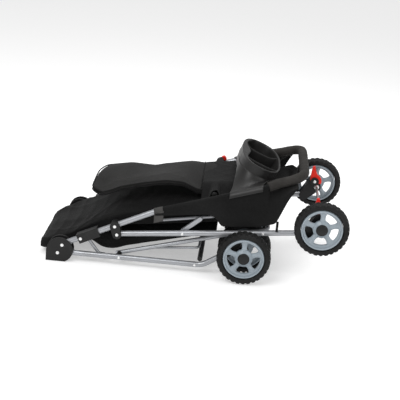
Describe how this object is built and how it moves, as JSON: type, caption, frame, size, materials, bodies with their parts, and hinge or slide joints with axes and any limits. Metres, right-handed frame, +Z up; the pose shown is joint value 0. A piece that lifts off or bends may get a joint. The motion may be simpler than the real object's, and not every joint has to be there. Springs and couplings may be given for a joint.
{
  "type": "pet stroller",
  "caption": "Folding pet stroller, folded flat: tube frame with twin front casters, rear wheels, soft pet cabin, canopy, basket, cup tray and foam handle.",
  "frame": {"origin": "centre of the folded package on the floor", "axes": "+X towards the handle, +Y to the stroller's right side, +Z up"},
  "size_m": [0.84, 0.449, 0.3335],
  "materials": {
    "silver_tube": "brushed, satin clear coat",
    "bright_steel": "bright zinc plate",
    "black_plastic": "moulded, fine texture",
    "tray_plastic": "moulded, satin",
    "red_plastic": "moulded, semi-gloss",
    "wheel_plastic": "moulded, light blue-grey",
    "tyre_rubber": "block tread, dull black",
    "grip_foam": "closed cell foam, matt",
    "black_fabric": "coated plain weave, black",
    "canopy_fabric": "coated plain weave, dark grey"
  },
  "bodies": {
    "front_frame": {"front_leg_left": "silver_tube", "front_leg_right": "silver_tube", "hinge_housing_left": "black_plastic", "hinge_housing_right": "black_plastic", "hinge_pin_left": "bright_steel", "hinge_pin_right": "bright_steel", "caster_socket_left": "black_plastic", "caster_socket_right": "black_plastic", "front_cross_tube": "black_plastic", "link_pin_left": "black_plastic", "link_pin_right": "black_plastic"},
    "push_frame": {"push_tube": "silver_tube", "foam_grip": "grip_foam", "lock_sleeve_left": "black_plastic", "lock_sleeve_right": "black_plastic", "pivot_bracket_left": "black_plastic", "pivot_bracket_right": "black_plastic", "rear_pivot_pin_left": "bright_steel", "rear_pivot_pin_right": "bright_steel", "cup_tray": "tray_plastic", "cabin": "black_fabric", "side_panel_left": "black_fabric", "side_panel_right": "black_fabric", "canopy_pivot_left": "black_plastic", "canopy_pivot_right": "black_plastic"},
    "rear_frame": {"rear_leg_left": "silver_tube", "rear_leg_right": "silver_tube", "axle_bracket_left": "black_plastic", "axle_bracket_right": "black_plastic", "rear_axle": "bright_steel", "floor_strut_left": "silver_tube", "floor_strut_right": "silver_tube"},
    "basket_frame": {"basket_link": "silver_tube", "basket_hoop": "silver_tube", "storage_basket": "black_fabric"},
    "floor_frame": {"floor_rail": "silver_tube"},
    "canopy_hood": {"canopy": "canopy_fabric"},
    "storage_latch_left": {"storage_latch_left": "silver_tube"},
    "brake_lever_left": {"brake_lever_left": "red_plastic"},
    "rear_wheel_left": {"rear_wheel_left_tyre": "tyre_rubber", "rear_wheel_left_rim": "wheel_plastic"},
    "caster_left": {"caster_fork_left": "black_plastic", "caster_axle_left": "bright_steel"},
    "front_wheel_left_outer": {"front_wheel_left_outer_tyre": "tyre_rubber", "front_wheel_left_outer_rim": "wheel_plastic"},
    "front_wheel_left_inner": {"front_wheel_left_inner_tyre": "tyre_rubber", "front_wheel_left_inner_rim": "wheel_plastic"},
    "storage_latch_right": {"storage_latch_right": "silver_tube"},
    "brake_lever_right": {"brake_lever_right": "red_plastic"},
    "rear_wheel_right": {"rear_wheel_right_tyre": "tyre_rubber", "rear_wheel_right_rim": "wheel_plastic"},
    "caster_right": {"caster_fork_right": "black_plastic", "caster_axle_right": "bright_steel"},
    "front_wheel_right_outer": {"front_wheel_right_outer_tyre": "tyre_rubber", "front_wheel_right_outer_rim": "wheel_plastic"},
    "front_wheel_right_inner": {"front_wheel_right_inner_tyre": "tyre_rubber", "front_wheel_right_inner_rim": "wheel_plastic"},
    "release_lever": {"release_lever": "red_plastic"}
  },
  "joints": [
    {"name": "fold", "type": "hinge", "parent": "front_frame", "child": "push_frame", "pos_m": [-0.366, 0, 0.049], "axis": [0, -1, 0], "range_deg": [0, 159], "deforming": ["cabin", "storage_basket"]},
    {"name": "rear_leg_pivot", "type": "hinge", "parent": "push_frame", "child": "rear_frame", "pos_m": [-0.214, 0, 0.095], "axis": [0, -1, 0], "range_deg": [-104, 0]},
    {"name": "basket_link_pivot", "type": "hinge", "parent": "front_frame", "child": "basket_frame", "pos_m": [-0.206, 0, 0.033], "axis": [0, -1, 0], "range_deg": [0, 96]},
    {"name": "floor_rail_pivot", "type": "hinge", "parent": "rear_frame", "child": "floor_frame", "pos_m": [0.013, 0, 0.157], "axis": [0, -1, 0], "range_deg": [0, 58]},
    {"name": "canopy_hinge", "type": "hinge", "parent": "push_frame", "child": "canopy_hood", "pos_m": [0.046, 0, 0.232], "axis": [0, 1, 0], "range_deg": [0, 60]},
    {"name": "latch_left", "type": "hinge", "parent": "push_frame", "child": "storage_latch_left", "pos_m": [-0.306, -0.15, 0.076], "axis": [0, -1, 0], "range_deg": [0, 40]},
    {"name": "brake_left", "type": "hinge", "parent": "rear_frame", "child": "brake_lever_left", "pos_m": [0.3365, -0.1497, 0.201], "axis": [0, -1, 0], "range_deg": [0, 25]},
    {"name": "rear_wheel_left_spin", "type": "hinge", "parent": "rear_frame", "child": "rear_wheel_left", "pos_m": [0.345, -0.208, 0.18], "axis": [0, 1, 0], "continuous": true},
    {"name": "caster_left_swivel", "type": "hinge", "parent": "front_frame", "child": "caster_left", "pos_m": [0.11187, -0.168, 0.07946], "axis": [0.8387, 0, 0.5446], "range_deg": [-4, 4]},
    {"name": "front_wheel_left_outer_spin", "type": "hinge", "parent": "caster_left", "child": "front_wheel_left_outer", "pos_m": [0.142, -0.208, 0.075], "axis": [0, 1, 0], "continuous": true},
    {"name": "front_wheel_left_inner_spin", "type": "hinge", "parent": "caster_left", "child": "front_wheel_left_inner", "pos_m": [0.142, -0.125, 0.075], "axis": [0, 1, 0], "continuous": true},
    {"name": "latch_right", "type": "hinge", "parent": "push_frame", "child": "storage_latch_right", "pos_m": [-0.306, 0.15, 0.076], "axis": [0, -1, 0], "range_deg": [0, 40]},
    {"name": "brake_right", "type": "hinge", "parent": "rear_frame", "child": "brake_lever_right", "pos_m": [0.3365, 0.1497, 0.201], "axis": [0, -1, 0], "range_deg": [0, 25]},
    {"name": "rear_wheel_right_spin", "type": "hinge", "parent": "rear_frame", "child": "rear_wheel_right", "pos_m": [0.345, 0.208, 0.18], "axis": [0, 1, 0], "continuous": true},
    {"name": "caster_right_swivel", "type": "hinge", "parent": "front_frame", "child": "caster_right", "pos_m": [0.11187, 0.168, 0.07946], "axis": [0.8387, 0, 0.5446], "range_deg": [-4, 4]},
    {"name": "front_wheel_right_outer_spin", "type": "hinge", "parent": "caster_right", "child": "front_wheel_right_outer", "pos_m": [0.142, 0.208, 0.075], "axis": [0, 1, 0], "continuous": true},
    {"name": "front_wheel_right_inner_spin", "type": "hinge", "parent": "caster_right", "child": "front_wheel_right_inner", "pos_m": [0.142, 0.125, 0.075], "axis": [0, 1, 0], "continuous": true},
    {"name": "release", "type": "slide", "parent": "push_frame", "child": "release_lever", "axis": [0.95, 0, 0.3123], "range_m": [0, 0.006], "stiffness_N_per_m": 300}
  ],
  "couplings": [
    {"joint": "rear_leg_pivot", "follows": "fold", "ratio": -0.643},
    {"joint": "basket_link_pivot", "follows": "fold", "ratio": 0.592},
    {"joint": "floor_rail_pivot", "follows": "fold", "ratio": 0.358}
  ]
}
